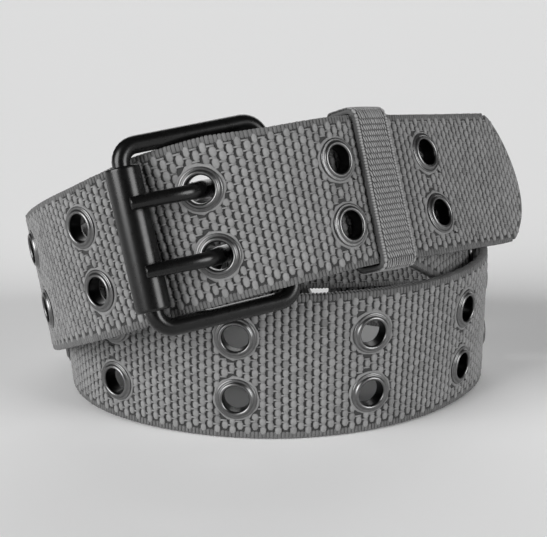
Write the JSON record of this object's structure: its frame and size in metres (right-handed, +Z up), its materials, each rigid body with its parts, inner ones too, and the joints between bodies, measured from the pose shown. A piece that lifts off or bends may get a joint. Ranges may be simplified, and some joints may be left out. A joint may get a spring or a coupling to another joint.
{
  "type": "rolled webbing belt",
  "caption": "Woven nylon webbing belt with a double-prong roller buckle and two rows of eyelets, buckled and rolled into a coil standing on its edge.",
  "frame": {"origin": "middle of the coil's footprint, on the surface that its lower edge stands on", "axes": "+Z up along the coil's axis, -Y towards the viewer on the buckle's side, +X to the viewer's right where the free tip points"},
  "size_m": [0.1384, 0.1339, 0.0836],
  "materials": {
    "webbing": "matte",
    "keeper_webbing": "matte",
    "buckle_metal": "gloss",
    "eyelet_metal": "satin"
  },
  "bodies": {
    "root": {"strap": "webbing", "buckle_frame": "buckle_metal", "roller": "buckle_metal", "prong_upper": "buckle_metal", "prong_lower": "buckle_metal", "keeper": "keeper_webbing", "eyelet_upper_1": "eyelet_metal", "eyelet_lower_1": "eyelet_metal", "eyelet_upper_2": "eyelet_metal", "eyelet_lower_2": "eyelet_metal", "eyelet_upper_3": "eyelet_metal", "eyelet_lower_3": "eyelet_metal", "eyelet_upper_4": "eyelet_metal", "eyelet_lower_4": "eyelet_metal", "eyelet_upper_5": "eyelet_metal", "eyelet_lower_5": "eyelet_metal", "eyelet_upper_6": "eyelet_metal", "eyelet_lower_6": "eyelet_metal", "eyelet_upper_7": "eyelet_metal", "eyelet_lower_7": "eyelet_metal", "eyelet_upper_8": "eyelet_metal", "eyelet_lower_8": "eyelet_metal", "eyelet_upper_9": "eyelet_metal", "eyelet_lower_9": "eyelet_metal", "eyelet_upper_10": "eyelet_metal", "eyelet_lower_10": "eyelet_metal", "eyelet_upper_11": "eyelet_metal", "eyelet_lower_11": "eyelet_metal", "eyelet_upper_12": "eyelet_metal", "eyelet_lower_12": "eyelet_metal", "eyelet_upper_13": "eyelet_metal", "eyelet_lower_13": "eyelet_metal", "eyelet_upper_14": "eyelet_metal", "eyelet_lower_14": "eyelet_metal", "eyelet_upper_15": "eyelet_metal", "eyelet_lower_15": "eyelet_metal", "eyelet_upper_16": "eyelet_metal", "eyelet_lower_16": "eyelet_metal", "eyelet_upper_17": "eyelet_metal", "eyelet_lower_17": "eyelet_metal", "eyelet_upper_18": "eyelet_metal", "eyelet_lower_18": "eyelet_metal", "eyelet_upper_19": "eyelet_metal", "eyelet_lower_19": "eyelet_metal", "eyelet_upper_20": "eyelet_metal", "eyelet_lower_20": "eyelet_metal", "eyelet_upper_21": "eyelet_metal", "eyelet_lower_21": "eyelet_metal", "eyelet_upper_22": "eyelet_metal", "eyelet_lower_22": "eyelet_metal"}
  },
  "joints": []
}
